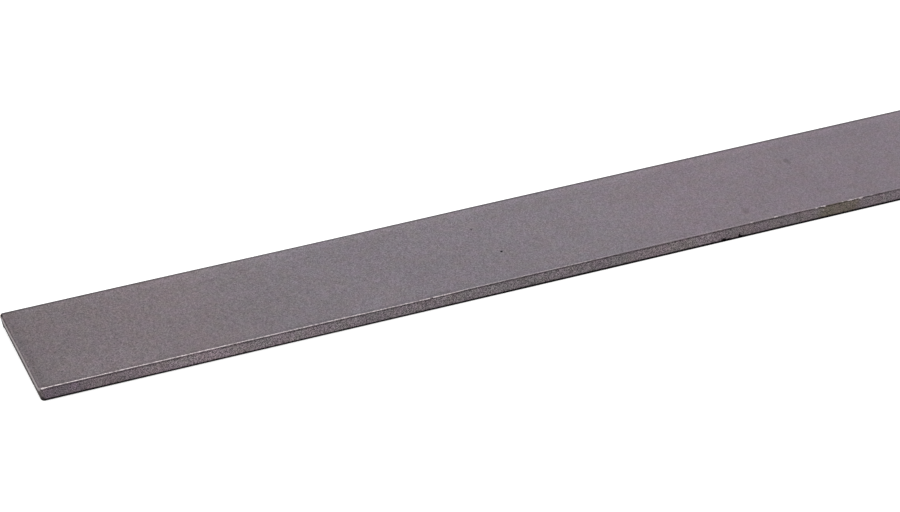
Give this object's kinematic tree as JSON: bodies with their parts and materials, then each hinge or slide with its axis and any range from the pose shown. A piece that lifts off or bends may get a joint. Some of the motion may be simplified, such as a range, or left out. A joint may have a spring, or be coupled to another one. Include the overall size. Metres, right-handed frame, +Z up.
{
  "type": "metal flat bar",
  "caption": "Long straight flat bar of plain rolled steel with slightly rounded long edges and sheared square ends, for brackets, frames and welding.",
  "frame": {"origin": "centre of the bar's underside, on the surface that it lies on", "axes": "+X along the length, towards the end whose lower corner is rolled over; +Y across the width; +Z up through the thickness"},
  "size_m": [1, 0.025, 0.003],
  "materials": {
    "mill_steel": "dull purple-grey mill scale on hot-rolled steel, with brighter worn arrises"
  },
  "bodies": {
    "root": {"flat_bar": "mill_steel"}
  },
  "joints": []
}
